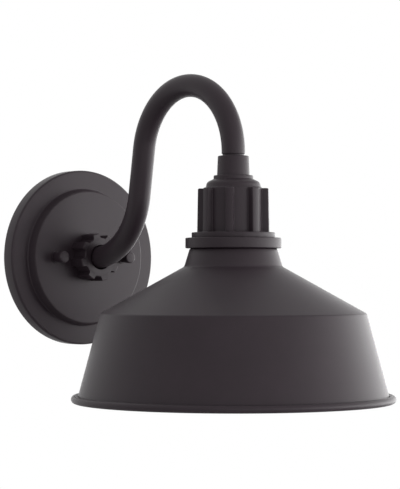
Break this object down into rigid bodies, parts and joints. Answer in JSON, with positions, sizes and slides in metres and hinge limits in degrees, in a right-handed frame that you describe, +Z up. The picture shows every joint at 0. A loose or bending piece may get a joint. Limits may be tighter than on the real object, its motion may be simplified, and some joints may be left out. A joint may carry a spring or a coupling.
{
  "type": "gooseneck wall sconce",
  "caption": "Barn-style wall light with a stepped round canopy, a gooseneck tube arm, a ribbed socket cover and a wide bell shade that points down",
  "frame": {"origin": "centre of the canopy's back face, on the wall plane", "axes": "+Z up; the fixture stands out of the wall along -Y, so +Y points into the wall; +X is to the right for someone facing the wall"},
  "size_m": [0.2198, 0.2901, 0.2269],
  "materials": {
    "powder_coat": "fine-textured matte dark bronze powder coat",
    "zinc_steel": "zinc-plated steel",
    "brass": "plain drawn brass",
    "nickel": "bright nickel-plated screw cap",
    "porcelain": "white glazed porcelain",
    "dark_glass": "black insulating glass",
    "black_rubber": "soft black seal",
    "black_lead": "black insulated lead",
    "white_lead": "white insulated lead",
    "green_lead": "green insulated lead",
    "connector": "orange twist-on connector",
    "frosted_glass": "soft white frosted glass"
  },
  "bodies": {
    "fixture": {"canopy": "powder_coat", "wall_seal": "black_rubber", "mounting_plate": "zinc_steel", "canopy_studs": "zinc_steel", "stud_locknuts": "zinc_steel", "cap_nut_washers": "powder_coat", "arm_hub": "powder_coat", "hub_set_screw": "zinc_steel", "arm_tube": "powder_coat", "arm_end_plugs": "zinc_steel", "canopy_rod": "zinc_steel", "canopy_rod_washer": "zinc_steel", "canopy_rod_nut": "zinc_steel", "socket_cover": "powder_coat", "cover_set_screw": "zinc_steel", "socket_rod": "zinc_steel", "socket_rod_washer": "zinc_steel", "socket_rod_nut": "zinc_steel", "fitter_ring": "powder_coat", "shade_gasket": "black_rubber", "shade": "powder_coat", "retaining_ring": "zinc_steel", "shade_screws": "zinc_steel", "socket_cap": "zinc_steel", "socket_cap_screws": "zinc_steel", "socket_body": "porcelain", "screw_shell": "brass", "centre_contact": "brass", "terminal_plates": "brass", "terminal_screws": "zinc_steel", "line_wire": "black_lead", "neutral_wire": "white_lead", "wire_connectors": "connector", "ground_screw": "zinc_steel", "ground_lugs": "zinc_steel", "ground_wire": "green_lead"},
    "cap_nut_left": {"cap_nut_left": "powder_coat"},
    "cap_nut_right": {"cap_nut_right": "powder_coat"},
    "lamp": {"lamp_glass": "frosted_glass", "lamp_cap": "nickel", "lamp_insulator": "dark_glass", "lamp_tip": "brass"}
  },
  "joints": [
    {"name": "cap_nut_left_turn", "type": "hinge", "parent": "fixture", "child": "cap_nut_left", "pos_m": [-0.0305, -0.0233, 0], "axis": [0, -1, 0], "continuous": true},
    {"name": "cap_nut_right_turn", "type": "hinge", "parent": "fixture", "child": "cap_nut_right", "pos_m": [0.0305, -0.0233, 0], "axis": [0, -1, 0], "continuous": true},
    {"name": "lamp_slide", "type": "slide", "parent": "fixture", "child": "lamp", "axis": [0, 0, -1], "range_m": [0, 0.13]}
  ]
}
